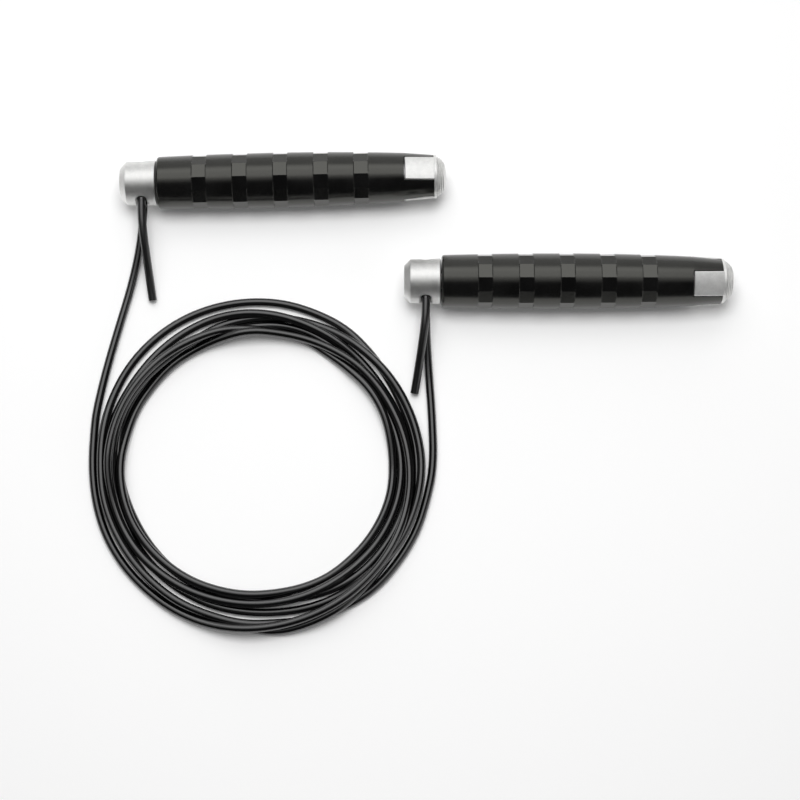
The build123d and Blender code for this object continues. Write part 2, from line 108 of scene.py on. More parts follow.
# Metals of the small parts: colour, colour of a worn edge, range of roughness, and scaling of
# the grain; then the parts that are made of each
METALS = {
    "tube_aluminium": ((0.72, 0.72, 0.73), (0.86, 0.86, 0.86), (0.28, 0.4), TURNED),
    "bearing_steel": ((0.66, 0.66, 0.68), (0.8, 0.8, 0.8), (0.08, 0.16), EVEN),
    "plain_steel": ((0.56, 0.56, 0.57), (0.75, 0.75, 0.75), (0.25, 0.4), TURNED),
    "black_steel": ((0.035, 0.035, 0.038), (0.2, 0.2, 0.2), (0.3, 0.42), EVEN),
}
METAL_PARTS = {
    "tube_aluminium": ("core_tube", "end_plug"),
    "bearing_steel": ("front_inner_race", "front_outer_race", "rear_inner_race",
                      "rear_outer_race", "front_balls", "rear_balls"),
    "plain_steel": ("axle", "axle_washer", "lock_nut", "retaining_ring", "inner_spacer",
                    "outer_spacer"),
    "black_steel": ("clamp_screw", "cap_screw"),
}

# Bench: half its side, and how much lighter it looks than the light on it makes it
BENCH_HALF = 3.0
BENCH_LIFT = 0.09

# Lamps: each hangs a metre from a point on the bench, leaned so many degrees to the far side.
# Its radiance is how bright its face is
LAMP_AIM_Y = -0.08
LAMPS = {
    "softbox": {"radiance": 0.95, "lean": 25.5, "x": -0.1, "across": 1.05, "deep": 0.84,
                "in_gloss": True},
    "softbox_tubes": {"radiance": 0.3, "lean": 35.0, "x": -0.1, "across": 1.05, "deep": 0.18,
                      "in_gloss": True},
    "fill": {"radiance": 6.6, "lean": 8.0, "x": -0.03, "across": 0.5, "deep": 0.5,
             "in_gloss": False},
}

# Room, as directions from the bench: where each bright part starts to show, and where it is full
WALL_FROM_NEAR = (-0.36, -0.12)
WALL_MIDDLE = -0.12
WALL_FROM_SIDES = (0.62, 0.4)
STRIP_FROM_ABOVE = (0.22, 0.0)
STRIP_FROM_NEAR = (-0.5, 0.1)
STRIP_FROM_RIGHT = (0.5, 0.3)
STRIP_LIGHT = 0.8
CARD_TOWARDS = (0.87, -0.4, 0.29)
CARD_FROM_EDGE = (0.9, 0.95)
ROOM_DARK = (0.03, 0.03, 0.03, 1.0)
ROOM_BRIGHT = (0.7, 0.7, 0.7, 1.0)

# Camera: it looks down from above the near side, tilted this much to the far side
CAMERA_LENS = 85.5
CAMERA_SENSOR = 36.0
CAMERA_PLACE = (-0.01225, -0.29514, 0.8905)
CAMERA_TILT = math.radians(13.5)

# Rope: its leads to the coil and its two free ends, each from the mouth of a head outwards
ROPE_D = 0.004
LEAD_A = [(-0.1376, 0.0142, 0.0099), (-0.1375, 0.0055, 0.0099), (-0.1396, -0.0095, 0.0058),
          (-0.1434, -0.026, 0.0025), (-0.1488, -0.046, 0.002), (-0.154, -0.067, 0.0021),
          (-0.1578, -0.087, 0.0028)]
LEAD_B = [(0.0002, -0.0356, 0.0099), (0.0002, -0.044, 0.0099), (0.0008, -0.057, 0.006),
          (0.0019, -0.073, 0.0028), (0.0031, -0.09, 0.0027)]
TAIL_A = [(-0.1376, 0.0142, 0.0169), (-0.1374, 0.006, 0.0169), (-0.1363, -0.0045, 0.0136),
          (-0.1348, -0.016, 0.008), (-0.1336, -0.025, 0.0043), (-0.1326, -0.032, 0.0021)]
TAIL_B = [(0.0002, -0.0356, 0.0169), (0.0001, -0.0438, 0.0169), (-0.0012, -0.054, 0.0135),
          (-0.0029, -0.0645, 0.0082), (-0.0042, -0.0725, 0.0046), (-0.0053, -0.0786, 0.0023)]

# Coil: its loose turns run from handle A's lead to handle B's, and start and step by these
# degrees. A row below is one turn: first how far each place is from the centre, then its height
COIL_CENTRE_MM = (-77.6, -113.6)
COIL_START = 168.0
COIL_STEP = 12.0
TURN_RADII_MM = [
    [82.9, 81.5, 81.2, 81.4, 81.2, 80.8, 80.8, 80.6, 79.8, 78.3, 77.1, 76.2, 75.2, 74.3, 72.9,
     71.4, 70, 68.6, 67.3, 66.7, 66, 65, 64.5, 64.3, 64.8, 65, 65.9, 66.5, 66.5, 67.2],
    [67, 67.8, 67.8, 67.6, 66.8, 65.9, 65.1, 64, 63.4, 62.5, 62.3, 62.7, 62.3, 62.4, 62.6,
     62.7, 62.1, 62.2, 62.8, 62.7, 61.9, 62.6, 64.8, 65.5, 66.9, 68.7, 69, 70.5, 71.5, 72.5],
    [73.1, 73.6, 73.1, 72.7, 72.2, 70.9, 69.8, 68.4, 67.5, 67.1, 66.9, 66.4, 66.1, 66.5, 66.6,
     66.6, 66.2, 65.5, 64.6, 64.4, 65, 66.9, 68.9, 69.6, 68.8, 68.6, 69.5, 69.5, 70.7, 71.9],
    [72.1, 72, 71.5, 70.9, 71, 71.1, 71.1, 71.2, 70.9, 71.2, 72.2, 73.2, 73.5, 75.4, 76,
     76, 76, 75.1, 74.4, 74, 73.5, 74, 73.6, 73.5, 73, 72.3, 70.5, 70.3, 70.6, 71.2],
    [71, 69.4, 67.5, 66.3, 65.8, 65.7, 65.7, 65.4, 64.8, 65.3, 66.9, 68.9, 70.4, 70.5, 70.6,
     70.6, 70.2, 69.5, 68.7, 68.3, 69.3, 70.1, 71.3, 73.2, 75.1, 76.8, 76.5, 75.9, 75.2, 75.2],
    [76, 76.1, 75.7, 75.5, 75.9, 76.8, 76.9, 78, 78.2, 80.5, 79.7, 78.5, 76.2, 74.9, 74.6,
     74.7, 73.9, 73.5, 72.7, 73.5, 75.4, 78, 79.1, 80.7, 81.5, 82.2, 82.5, 82.2, 81.5, 80.1],
    [78.3, 77.1, 77.1, 76.7, 76.5, 76.5, 76.8, 76.3, 77, 76.4, 77.8, 78.8, 80, 79.7, 80.1,
     79.9, 81.5],
]
TURN_HEIGHTS_MM = [
    [2, 2, 2, 2, 2.1, 2, 3.1, 5.1, 8.7, 8.3, 8.6, 9.4, 9.5, 10.2, 8.2,
     5.8, 6, 5.9, 5.8, 5.4, 6, 5.9, 5.9, 6.6, 9.7, 6.5, 3, 3.2, 2, 2],
    [3.1, 5.7, 6.1, 5.7, 5.9, 6, 6, 5.7, 5.9, 4.9, 2, 2, 2, 2, 2,
     2, 2, 4.4, 5.7, 5.7, 4.7, 2.1, 2, 3.2, 5.2, 7.8, 10.1, 9.7, 9.9, 9.9],
    [9.7, 9.3, 6.5, 5.4, 6, 6, 5.9, 4.9, 4.9, 5.7, 6.2, 5.4, 2.6, 2, 2,
     2, 2, 2, 2, 2, 2, 2, 2, 2.1, 2, 3.6, 6.1, 5.8, 6, 5.9],
    [5.8, 5.7, 2.7, 2, 2.1, 2, 2, 2, 2, 2, 2, 2.5, 6.1, 6, 5.6,
     6.2, 5.6, 5.6, 5.7, 6.1, 5.9, 3, 2, 2.1, 2, 2, 2, 2, 2, 2],
    [2, 2, 2, 2, 2, 2, 2, 2, 2, 2, 2, 2, 2, 2, 2,
     2, 2, 2, 2, 2, 2, 4.4, 5.5, 6.1, 5.6, 2.5, 2, 2, 2, 2],
    [2, 2, 2, 2, 2, 2, 2, 2.1, 2, 2.4, 5.8, 6.6, 3.1, 2, 2,
     2.2, 3.1, 2, 2.1, 2, 2, 2, 2, 2, 2, 2, 2, 2, 2, 2.3],
    [5.4, 5.9, 5.8, 5.8, 6, 6, 6.1, 5.7, 5.9, 4.1, 2, 2.2, 2, 2, 2,
     2, 2],
]


def plain_colour(red, green, blue):
    """A colour as Blender's sockets take it."""
    return (red, green, blue, 1.0)


def add_object(name, data):
    """A new object in the scene."""
    thing = bpy.data.objects.new(name, data)
    bpy.context.collection.objects.link(thing)
    return thing


def coil_points():
    """Every place of the turns, in metres."""
    radii = [radius for turn in TURN_RADII_MM for radius in turn]
    heights = [height for turn in TURN_HEIGHTS_MM for height in turn]
    points = []
    for place, (radius, height) in enumerate(zip(radii, heights)):
        angle = math.radians(COIL_START + COIL_STEP * place)
        x = COIL_CENTRE_MM[0] + radius * math.cos(angle)
        y = COIL_CENTRE_MM[1] + radius * math.sin(angle)
        points.append((x / MM_PER_M, y / MM_PER_M, height / MM_PER_M))
    return points


def lay_rope(name, points):
    """A round rope whose centreline is one smooth spline over the given points."""
    curve = bpy.data.curves.new(name, "CURVE")
    curve.dimensions = "3D"
    spline = curve.splines.new("NURBS")
    spline.points.add(len(points) - 1)
    for place, point in zip(spline.points, points):
        place.co = (*point, 1.0)
    spline.order_u = 3
    spline.use_endpoint_u = True
    spline.resolution_u = 5
    curve.bevel_depth = ROPE_D / 2
    curve.bevel_resolution = 6
    curve.use_fill_caps = True
    return add_object(name, curve)


# Node helpers
def feed(tree, socket, value):
    """Gives an input another node's output, or a number, colour or vector of its own."""
    if isinstance(value, bpy.types.NodeSocket):
        tree.links.new(value, socket)
    else:
        socket.default_value = value


def calc(tree, operation, *values):
    """One sum; its terms are numbers or other nodes' outputs."""
    node = tree.nodes.new("ShaderNodeMath")
    node.operation = operation
    for socket, value in zip(node.inputs, values):
        feed(tree, socket, value)
    return node.outputs[0]


def vector(tree, *values):
    """A vector from three numbers or other nodes' outputs."""
    node = tree.nodes.new("ShaderNodeCombineXYZ")
    for socket, value in zip(node.inputs, values):
        feed(tree, socket, value)
    return node.outputs[0]


# A Mix node has its share at input 0, its two numbers at 2 and 3, and its two colours at 6 and 7
def choose(tree, test, when_false, when_true):
    """The first number where the test is 0, and the second where it is 1."""
    node = tree.nodes.new("ShaderNodeMix")
    node.data_type = "FLOAT"
    for number, value in ((0, test), (2, when_false), (3, when_true)):
        feed(tree, node.inputs[number], value)
    return node.outputs[0]


def blend_colours(tree, share, first, second):
    """Goes from the first colour to the second as the share goes from 0 to 1."""
    node = tree.nodes.new("ShaderNodeMix")
    node.data_type = "RGBA"
    for number, value in ((0, share), (6, first), (7, second)):
        feed(tree, node.inputs[number], value)
    return node.outputs[2]


def spread(tree, value, low, high, to_low=0.0, to_high=1.0):
    """Stretches a value's range to another, and holds it at the ends."""
    node = tree.nodes.new("ShaderNodeMapRange")
    node.inputs["From Min"].default_value = low
    node.inputs["From Max"].default_value = high
    node.inputs["To Min"].default_value = to_low
    node.inputs["To Max"].default_value = to_high
    tree.links.new(value, node.inputs["Value"])
    return node.outputs["Result"]


def facing(tree, first, second):
    """How well two directions agree: 1 where they are the same, 0 at right angles."""
    node = tree.nodes.new("ShaderNodeVectorMath")
    node.operation = "DOT_PRODUCT"
    feed(tree, node.inputs[0], first)
    feed(tree, node.inputs[1], second)
    return node.outputs["Value"]


def noise(tree, place, scale, detail, rough):
    """An even random pattern, with so many grains to a metre."""
    node = tree.nodes.new("ShaderNodeTexNoise")
    node.inputs["Scale"].default_value = scale
    node.inputs["Detail"].default_value = detail
    node.inputs["Roughness"].default_value = rough
    tree.links.new(place, node.inputs["Vector"])
    return node.outputs["Fac"]


def on_object(tree):
    """A piece's own coordinates, which are the bench's at rest."""
    return tree.nodes.new("ShaderNodeTexCoord").outputs["Object"]


def on_handle(tree, side):
    """The place along, across and above the axis of one handle."""
    turn = tree.nodes.new("ShaderNodeMapping")
    turn.vector_type = "TEXTURE"
    turn.inputs["Location"].default_value = HEAD_FRONT[side]
    turn.inputs["Rotation"].default_value = (0.0, 0.0, PLAN_TURN[side])
    tree.links.new(on_object(tree), turn.inputs["Vector"])
    return turn.outputs["Vector"]


def drawn_out(tree, place, grain):
    """The same place with its axes scaled, so that a pattern on it is drawn out."""
    scale = tree.nodes.new("ShaderNodeVectorMath")
    scale.operation = "MULTIPLY"
    scale.inputs[1].default_value = grain
    tree.links.new(place, scale.inputs[0])
    return scale.outputs["Vector"]


# Surface helpers
def new_material(name):
    """A material with its node tree and its shader."""
    material = bpy.data.materials.new(name)
    material.use_nodes = True
    tree = material.node_tree
    return material, tree, tree.nodes["Principled BSDF"]


def soft_edges(tree, radius):
    """The surface normal with every sharp edge rounded to the given radius."""
    node = tree.nodes.new("ShaderNodeBevel")
    node.samples = 4
    node.inputs["Radius"].default_value = radius
    return node.outputs["Normal"]


def edge_wear(tree, rounded, full, none):
    """1 along the edges, where hands and the bench have rubbed, and 0 on the faces.
    Full and none say how well the rounded and the true normal agree there."""
    true_face = tree.nodes.new("ShaderNodeNewGeometry").outputs["Normal"]
    return spread(tree, facing(tree, rounded, true_face), none, full)


def drifting_colour(tree, shader, clouds, dull, clean, worn, rubbed):
    """Base colour: it drifts from dull to clean with the clouds, and is rubbed where it is worn."""
    faces = blend_colours(tree, spread(tree, clouds, *COLOUR_DRIFT), dull, clean)
    tree.links.new(blend_colours(tree, worn, faces, rubbed), shader.inputs["Base Color"])


def drifting_gloss(tree, clouds, low, high):
    """Roughness that drifts from low to high with the clouds."""
    return spread(tree, clouds, *GLOSS_DRIFT, low, high)


def relief(tree, shader, height, distance, strength, under=None):
    """Fine relief on the surface, on top of the normal under it."""
    node = tree.nodes.new("ShaderNodeBump")
    node.inputs["Strength"].default_value = strength
    node.inputs["Distance"].default_value = distance
    tree.links.new(height, node.inputs["Height"])
    if under is not None:
        tree.links.new(under, node.inputs["Normal"])
    tree.links.new(node.outputs["Normal"], shader.inputs["Normal"])
    return node.outputs["Normal"]


# Finishes
def satin_aluminium(part, side, bare):
    """Turned and bead-blasted aluminium: faint rings from the lathe, blast grain, bright edges.
    Bare is its share of bare metal; the rest is the thin clear oxide of the anodising."""
    material, tree, shader = new_material(f"satin_aluminium_{part}_{side}")
    place = on_handle(tree, side)
    lathe = noise(tree, drawn_out(tree, place, TURNED), scale=3800.0, detail=2.0, rough=0.5)
    grain = noise(tree, place, scale=1500.0, detail=3.0, rough=0.65)
    clouds = noise(tree, place, scale=300.0, detail=5.0, rough=0.75)
    rounded = soft_edges(tree, radius=0.00025)
    worn = edge_wear(tree, rounded, full=0.8, none=0.98)
    drifting_colour(tree, shader, clouds, plain_colour(0.79, 0.79, 0.778),
                    plain_colour(0.905, 0.905, 0.89), worn, plain_colour(0.95, 0.95, 0.94))
    shader.inputs["Metallic"].default_value = bare
    satin = drifting_gloss(tree, clouds, low=0.46, high=0.53)
    rubbed = 0.3
    tree.links.new(choose(tree, worn, satin, rubbed), shader.inputs["Roughness"])
    blasted = relief(tree, shader, grain, distance=0.00004, strength=0.8, under=rounded)
    relief(tree, shader, lathe, distance=0.000006, strength=0.3, under=blasted)
    return material


def milled_rings(tree, place):
    """1 on the rings of milled flats, and 0 on the moulded skin between them."""
    split = tree.nodes.new("ShaderNodeSeparateXYZ")
    tree.links.new(place, split.inputs[0])
    pitch = GRIP_SIZES["Ring Pitch"]
    start = calc(tree, "SUBTRACT", split.outputs["X"], GRIP_FRONT + GRIP_SIZES["First Ring"])
    number = calc(tree, "FLOOR", calc(tree, "DIVIDE", start, pitch))
    within = calc(tree, "SUBTRACT", start, calc(tree, "MULTIPLY", number, pitch))
    milled = calc(tree, "LESS_THAN", within, GRIP_SIZES["Flat Length"])
    counted = calc(tree, "MULTIPLY", calc(tree, "GREATER_THAN", start, 0.0),
                   calc(tree, "LESS_THAN", number, GRIP_COUNTS["Rings"] - 0.5))
    return calc(tree, "MULTIPLY", milled, counted)


def black_grip_plastic(side):
    """Moulded black plastic with a fine spark-eroded grain, glossier where the flats are milled,
    and with edges polished by hands."""
    material, tree, shader = new_material(f"black_grip_plastic_{side}")
    place = on_handle(tree, side)
    grain = noise(tree, place, scale=2300.0, detail=3.0, rough=0.6)
    clouds = noise(tree, place, scale=70.0, detail=4.0, rough=0.6)
    rounded = soft_edges(tree, radius=0.0002)
    worn = edge_wear(tree, rounded, full=0.9, none=0.995)
    drifting_colour(tree, shader, clouds, plain_colour(0.0025, 0.0025, 0.0027),
                    plain_colour(0.0055, 0.0055, 0.0057), worn,
                    plain_colour(0.012, 0.012, 0.0125))
    moulded_skin = drifting_gloss(tree, clouds, low=0.19, high=0.26)
    milled_face = drifting_gloss(tree, clouds, low=0.08, high=0.12)
    gloss = choose(tree, milled_rings(tree, place), moulded_skin, milled_face)
    tree.links.new(gloss, shader.inputs["Roughness"])
    shader.inputs["Specular IOR Level"].default_value = 0.72
    shader.inputs["Specular Tint"].default_value = WARM_GLOSS
    relief(tree, shader, grain, distance=0.00002, strength=0.3, under=rounded)
    return material


def rope_plastic(name, low, high, depth):
    """Solid extruded plastic: glossy, with slow changes of gloss, fine dust and faint scuffs.
    Low and high are its range of roughness, and depth is how deep the scuffs are."""
    material, tree, shader = new_material(name)
    place = on_object(tree)
    clouds = noise(tree, place, scale=60.0, detail=4.0, rough=0.6)
    specks = noise(tree, place, scale=1400.0, detail=3.0, rough=0.65)
    dust = spread(tree, specks, low=0.64, high=0.8)
    drifting_colour(tree, shader, clouds, plain_colour(0.0009, 0.0009, 0.001),
                    plain_colour(0.0022, 0.0022, 0.0024), dust, plain_colour(0.01, 0.01, 0.01))
    tree.links.new(drifting_gloss(tree, clouds, low, high), shader.inputs["Roughness"])
    shader.inputs["Specular IOR Level"].default_value = 0.95
    shader.inputs["IOR"].default_value = 1.55
    relief(tree, shader, specks, distance=depth, strength=0.3)
    return material


def turned_metal(name, side, colour, edge, gloss, grain):
    """Bare or plated metal for the small turned parts: tool rings, light stains, bright edges."""
    material, tree, shader = new_material(f"{name}_{side}")
    place = on_handle(tree, side)
    tool = noise(tree, drawn_out(tree, place, grain), scale=3000.0, detail=3.0, rough=0.6)
    stains = noise(tree, place, scale=220.0, detail=3.0, rough=0.6)
    rounded = soft_edges(tree, radius=0.00015)
    worn = edge_wear(tree, rounded, full=0.85, none=0.98)
    stained = plain_colour(*(0.8 * channel for channel in colour))
    drifting_colour(tree, shader, stains, stained, plain_colour(*colour), worn,
                    plain_colour(*edge))
    shader.inputs["Metallic"].default_value = 1.0
    tree.links.new(drifting_gloss(tree, tool, *gloss), shader.inputs["Roughness"])
    relief(tree, shader, tool, distance=0.000006, strength=0.5, under=rounded)
    return material


def natural_nylon():
    """Moulded nylon of the ball cages: milky, slightly mottled."""
    material, tree, shader = new_material("natural_nylon")
    mottle = noise(tree, on_object(tree), scale=400.0, detail=3.0, rough=0.6)
    colour = blend_colours(tree, mottle, plain_colour(0.68, 0.62, 0.52),
                           plain_colour(0.76, 0.71, 0.61))
    tree.links.new(colour, shader.inputs["Base Color"])
    tree.links.new(drifting_gloss(tree, mottle, low=0.4, high=0.55), shader.inputs["Roughness"])
    shader.inputs["Subsurface Weight"].default_value = 0.15
    shader.inputs["Subsurface Scale"].default_value = 0.001
    relief(tree, shader, mottle, distance=0.00001, strength=0.4)
    return material


# Grips: a barrel with rings of milled flats and a slot for each tab, shaped by one rule
def arc_radius(tree, sizes, at, reach, edge):
    """Radius on the arc that touches the crest and passes through the given edge."""
    drop = calc(tree, "SUBTRACT", sizes["Crest Radius"], sizes[edge])
    square = calc(tree, "ADD", calc(tree, "MULTIPLY", reach, reach),
                  calc(tree, "MULTIPLY", drop, drop))
    bend = calc(tree, "DIVIDE", square, calc(tree, "MULTIPLY", drop, 2.0))
    off = calc(tree, "SUBTRACT", at, sizes["Crest At"])
    inside = calc(tree, "SUBTRACT", calc(tree, "MULTIPLY", bend, bend),
                  calc(tree, "MULTIPLY", off, off))
    sunk = calc(tree, "SUBTRACT", bend, calc(tree, "SQRT", inside))
    return calc(tree, "SUBTRACT", sizes["Crest Radius"], sunk)


def barrel_radius(tree, sizes, at):
    """Radius of the barrel: two arcs that meet at the crest, then the taper."""
    shoulder_at = calc(tree, "SUBTRACT", sizes["Length"], sizes["Taper Length"])
    rear_reach = calc(tree, "SUBTRACT", shoulder_at, sizes["Crest At"])
    front = arc_radius(tree, sizes, at, sizes["Crest At"], "Front Radius")
    rear = arc_radius(tree, sizes, at, rear_reach, "Shoulder Radius")
    share = calc(tree, "DIVIDE", calc(tree, "SUBTRACT", at, shoulder_at), sizes["Taper Length"])
    fall = calc(tree, "SUBTRACT", sizes["Rear Radius"], sizes["Shoulder Radius"])
    taper = calc(tree, "ADD", sizes["Shoulder Radius"], calc(tree, "MULTIPLY", share, fall))
    body = choose(tree, calc(tree, "GREATER_THAN", at, sizes["Crest At"]), front, rear)
    return choose(tree, calc(tree, "GREATER_THAN", at, shoulder_at), body, taper)


def ring_radius(tree, sizes, at, angle):
    """Whether a place lies in a ring of flats, and the radius of the flats there."""
    along = calc(tree, "SUBTRACT", at, sizes["First Ring"])
    number = calc(tree, "FLOOR", calc(tree, "DIVIDE", along, sizes["Ring Pitch"]))
    start = calc(tree, "MULTIPLY", number, sizes["Ring Pitch"])
    within = calc(tree, "SUBTRACT", along, start)
    started = calc(tree, "GREATER_THAN", within, WELD)
    not_past = calc(tree, "LESS_THAN", within, sizes["Flat Length"])
    counted = calc(tree, "MULTIPLY", calc(tree, "GREATER_THAN", number, -0.5),
                   calc(tree, "LESS_THAN", number, sizes["Rings"]))
    in_ring = calc(tree, "MULTIPLY", calc(tree, "MULTIPLY", started, not_past), counted)
    middle = calc(tree, "ADD", calc(tree, "ADD", start, sizes["First Ring"]),
                  calc(tree, "MULTIPLY", sizes["Flat Length"], 0.5))
    corner = calc(tree, "SUBTRACT", barrel_radius(tree, sizes, middle), sizes["Ring Sink"])
    half_flat = calc(tree, "DIVIDE", math.pi, sizes["Flats"])
    whole_flat = calc(tree, "MULTIPLY", half_flat, 2.0)
    turned = calc(tree, "FLOORED_MODULO", calc(tree, "ADD", angle, half_flat), whole_flat)
    off_middle = calc(tree, "SUBTRACT", turned, half_flat)
    flat = calc(tree, "DIVIDE", calc(tree, "MULTIPLY", corner, calc(tree, "COSINE", half_flat)),
                calc(tree, "COSINE", off_middle))
    return in_ring, flat


def slot_cutters(tree, sizes):
    """One block for each tab, evenly round the axis, from inside the bore to clear of the grip."""
    deep = calc(tree, "SUBTRACT", calc(tree, "ADD", sizes["Length"], sizes["Slot Overrun"]),
                sizes["Slot Start"])
    block = tree.nodes.new("GeometryNodeMeshCube")
    tree.links.new(vector(tree, deep, sizes["Slot Width"], sizes["Crest Radius"]),
                   block.inputs["Size"])
    places = tree.nodes.new("GeometryNodeMeshLine")
    tree.links.new(sizes["Slots"], places.inputs["Count"])
    number = tree.nodes.new("GeometryNodeInputIndex").outputs[0]
    turn = calc(tree, "DIVIDE", calc(tree, "MULTIPLY", number, 2.0 * math.pi), sizes["Slots"])
    out = calc(tree, "ADD", calc(tree, "MULTIPLY", sizes["Crest Radius"], 0.5),
               sizes["Slot Floor"])
    middle = calc(tree, "ADD", sizes["Slot Start"], calc(tree, "MULTIPLY", deep, 0.5))
    across = calc(tree, "MULTIPLY", calc(tree, "SINE", turn), calc(tree, "MULTIPLY", out, -1.0))
    up = calc(tree, "MULTIPLY", calc(tree, "COSINE", turn), out)
    set_place = tree.nodes.new("GeometryNodeSetPosition")
    tree.links.new(places.outputs["Mesh"], set_place.inputs["Geometry"])
    tree.links.new(vector(tree, middle, across, up), set_place.inputs["Position"])
    copies = tree.nodes.new("GeometryNodeInstanceOnPoints")
    tree.links.new(set_place.outputs["Geometry"], copies.inputs["Points"])
    tree.links.new(block.outputs["Mesh"], copies.inputs["Instance"])
    tree.links.new(vector(tree, turn, 0.0, 0.0), copies.inputs["Rotation"])
    real = tree.nodes.new("GeometryNodeRealizeInstances")
    tree.links.new(copies.outputs["Instances"], real.inputs["Geometry"])
    return real.outputs["Geometry"]


def grip_tree():
    """The rule's empty node tree, with its named sizes, counts, place and finish."""
    tree = bpy.data.node_groups.new("barrel_grip_rule", "GeometryNodeTree")
    for kind, values in (("NodeSocketFloat", GRIP_SIZES), ("NodeSocketInt", GRIP_COUNTS)):
        for name, value in values.items():
            socket = tree.interface.new_socket(name, in_out="INPUT", socket_type=kind)
            socket.default_value = value
    for name, kind in (("Place", "NodeSocketVector"), ("Turn", "NodeSocketVector"),
                       ("Finish", "NodeSocketMaterial")):
        tree.interface.new_socket(name, in_out="INPUT", socket_type=kind)
    tree.interface.new_socket("Grip", in_out="OUTPUT", socket_type="NodeSocketGeometry")
    return tree


def barrel_skin(tree, sizes):
    """The grip's closed skin, before its slots: a sheet of columns, wrapped round the axis.
    Column 0 is the front of the bore, the next ones are the outline from the front face to the
    rear face, and the last two are the rear of the bore and its front once more."""
    steps_along, steps_round = sizes["Steps Along"], sizes["Steps Round"]
    columns = calc(tree, "ADD", steps_along, 4.0)
    sheet = tree.nodes.new("GeometryNodeMeshGrid")
    for label, value in (("Size X", calc(tree, "SUBTRACT", columns, 1.0)),
                         ("Size Y", steps_round), ("Vertices X", columns),
                         ("Vertices Y", calc(tree, "ADD", steps_round, 1.0))):
        tree.links.new(value, sheet.inputs[label])
    flat_place = tree.nodes.new("ShaderNodeSeparateXYZ")
    tree.links.new(tree.nodes.new("GeometryNodeInputPosition").outputs[0], flat_place.inputs[0])
    half_columns = calc(tree, "MULTIPLY", calc(tree, "SUBTRACT", columns, 1.0), 0.5)
    column = calc(tree, "ROUND", calc(tree, "ADD", flat_place.outputs["X"], half_columns))
    half_rows = calc(tree, "MULTIPLY", steps_round, 0.5)
    row = calc(tree, "ROUND", calc(tree, "ADD", flat_place.outputs["Y"], half_rows))
    angle = calc(tree, "DIVIDE", calc(tree, "MULTIPLY", row, 2.0 * math.pi), steps_round)
    share = calc(tree, "DIVIDE", calc(tree, "SUBTRACT", column, 1.0), steps_along)
    share = calc(tree, "MINIMUM", calc(tree, "MAXIMUM", share, 0.0), 1.0)
    closing = calc(tree, "GREATER_THAN", column, calc(tree, "ADD", steps_along, 2.5))
    at = calc(tree, "MULTIPLY", calc(tree, "MULTIPLY", share, sizes["Length"]),
              calc(tree, "SUBTRACT", 1.0, closing))
    in_bore = calc(tree, "MAXIMUM", calc(tree, "LESS_THAN", column, 0.5),
                   calc(tree, "GREATER_THAN", column, calc(tree, "ADD", steps_along, 1.5)))

    # Outline: the barrel, its rounded front edge, and the rings of flats
    short_of = calc(tree, "MAXIMUM", calc(tree, "SUBTRACT", sizes["Front Round"], at), 0.0)
    round_square = calc(tree, "MULTIPLY", sizes["Front Round"], sizes["Front Round"])
    left = calc(tree, "SUBTRACT", round_square, calc(tree, "MULTIPLY", short_of, short_of))
    rounding = calc(tree, "SUBTRACT", sizes["Front Round"], calc(tree, "SQRT", left))
    barrel = calc(tree, "SUBTRACT", barrel_radius(tree, sizes, at), rounding)
    in_ring, flat = ring_radius(tree, sizes, at, angle)
    outline = choose(tree, in_ring, barrel, calc(tree, "MINIMUM", barrel, flat))
    radius = choose(tree, in_bore, outline, sizes["Bore Radius"])
    across = calc(tree, "MULTIPLY", radius, calc(tree, "SINE", angle))
    up = calc(tree, "MULTIPLY", radius, calc(tree, "COSINE", angle))
    wrapped = tree.nodes.new("GeometryNodeSetPosition")
    tree.links.new(sheet.outputs["Mesh"], wrapped.inputs["Geometry"])
    tree.links.new(vector(tree, at, across, up), wrapped.inputs["Position"])
    closed = tree.nodes.new("GeometryNodeMergeByDistance")
    closed.inputs["Distance"].default_value = WELD
    tree.links.new(wrapped.outputs["Geometry"], closed.inputs["Geometry"])
    return closed.outputs["Geometry"]


def grip_rule():
    """The node tree that makes a grip from its named sizes."""
    tree = grip_tree()
    sizes = tree.nodes.new("NodeGroupInput").outputs
    slotted = tree.nodes.new("GeometryNodeMeshBoolean")
    slotted.operation = "DIFFERENCE"
    slotted.solver = "MANIFOLD"
    tree.links.new(barrel_skin(tree, sizes), slotted.inputs["Mesh 1"])
    tree.links.new(slot_cutters(tree, sizes), slotted.inputs["Mesh 2"])
    smooth = tree.nodes.new("GeometryNodeSetShadeSmooth")
    tree.links.new(slotted.outputs["Mesh"], smooth.inputs["Geometry"])
    bend = tree.nodes.new("GeometryNodeInputMeshEdgeAngle").outputs["Unsigned Angle"]
    crisp = tree.nodes.new("GeometryNodeSetShadeSmooth")
    crisp.domain = "EDGE"
    crisp.inputs["Shade Smooth"].default_value = False
    tree.links.new(smooth.outputs["Geometry"], crisp.inputs["Geometry"])
    tree.links.new(calc(tree, "GREATER_THAN", bend, GRIP_CRISP_ANGLE), crisp.inputs["Selection"])
    placed = tree.nodes.new("GeometryNodeTransform")
    tree.links.new(crisp.outputs["Geometry"], placed.inputs["Geometry"])
    tree.links.new(sizes["Place"], placed.inputs["Translation"])
    tree.links.new(sizes["Turn"], placed.inputs["Rotation"])
    real = tree.nodes.new("GeometryNodeRealizeInstances")
    tree.links.new(placed.outputs["Geometry"], real.inputs["Geometry"])
    finished = tree.nodes.new("GeometryNodeSetMaterial")
    tree.links.new(real.outputs["Geometry"], finished.inputs["Geometry"])
    tree.links.new(sizes["Finish"], finished.inputs["Material"])
    tree.links.new(finished.outputs["Geometry"], tree.nodes.new("NodeGroupOutput").inputs["Grip"])
    return tree


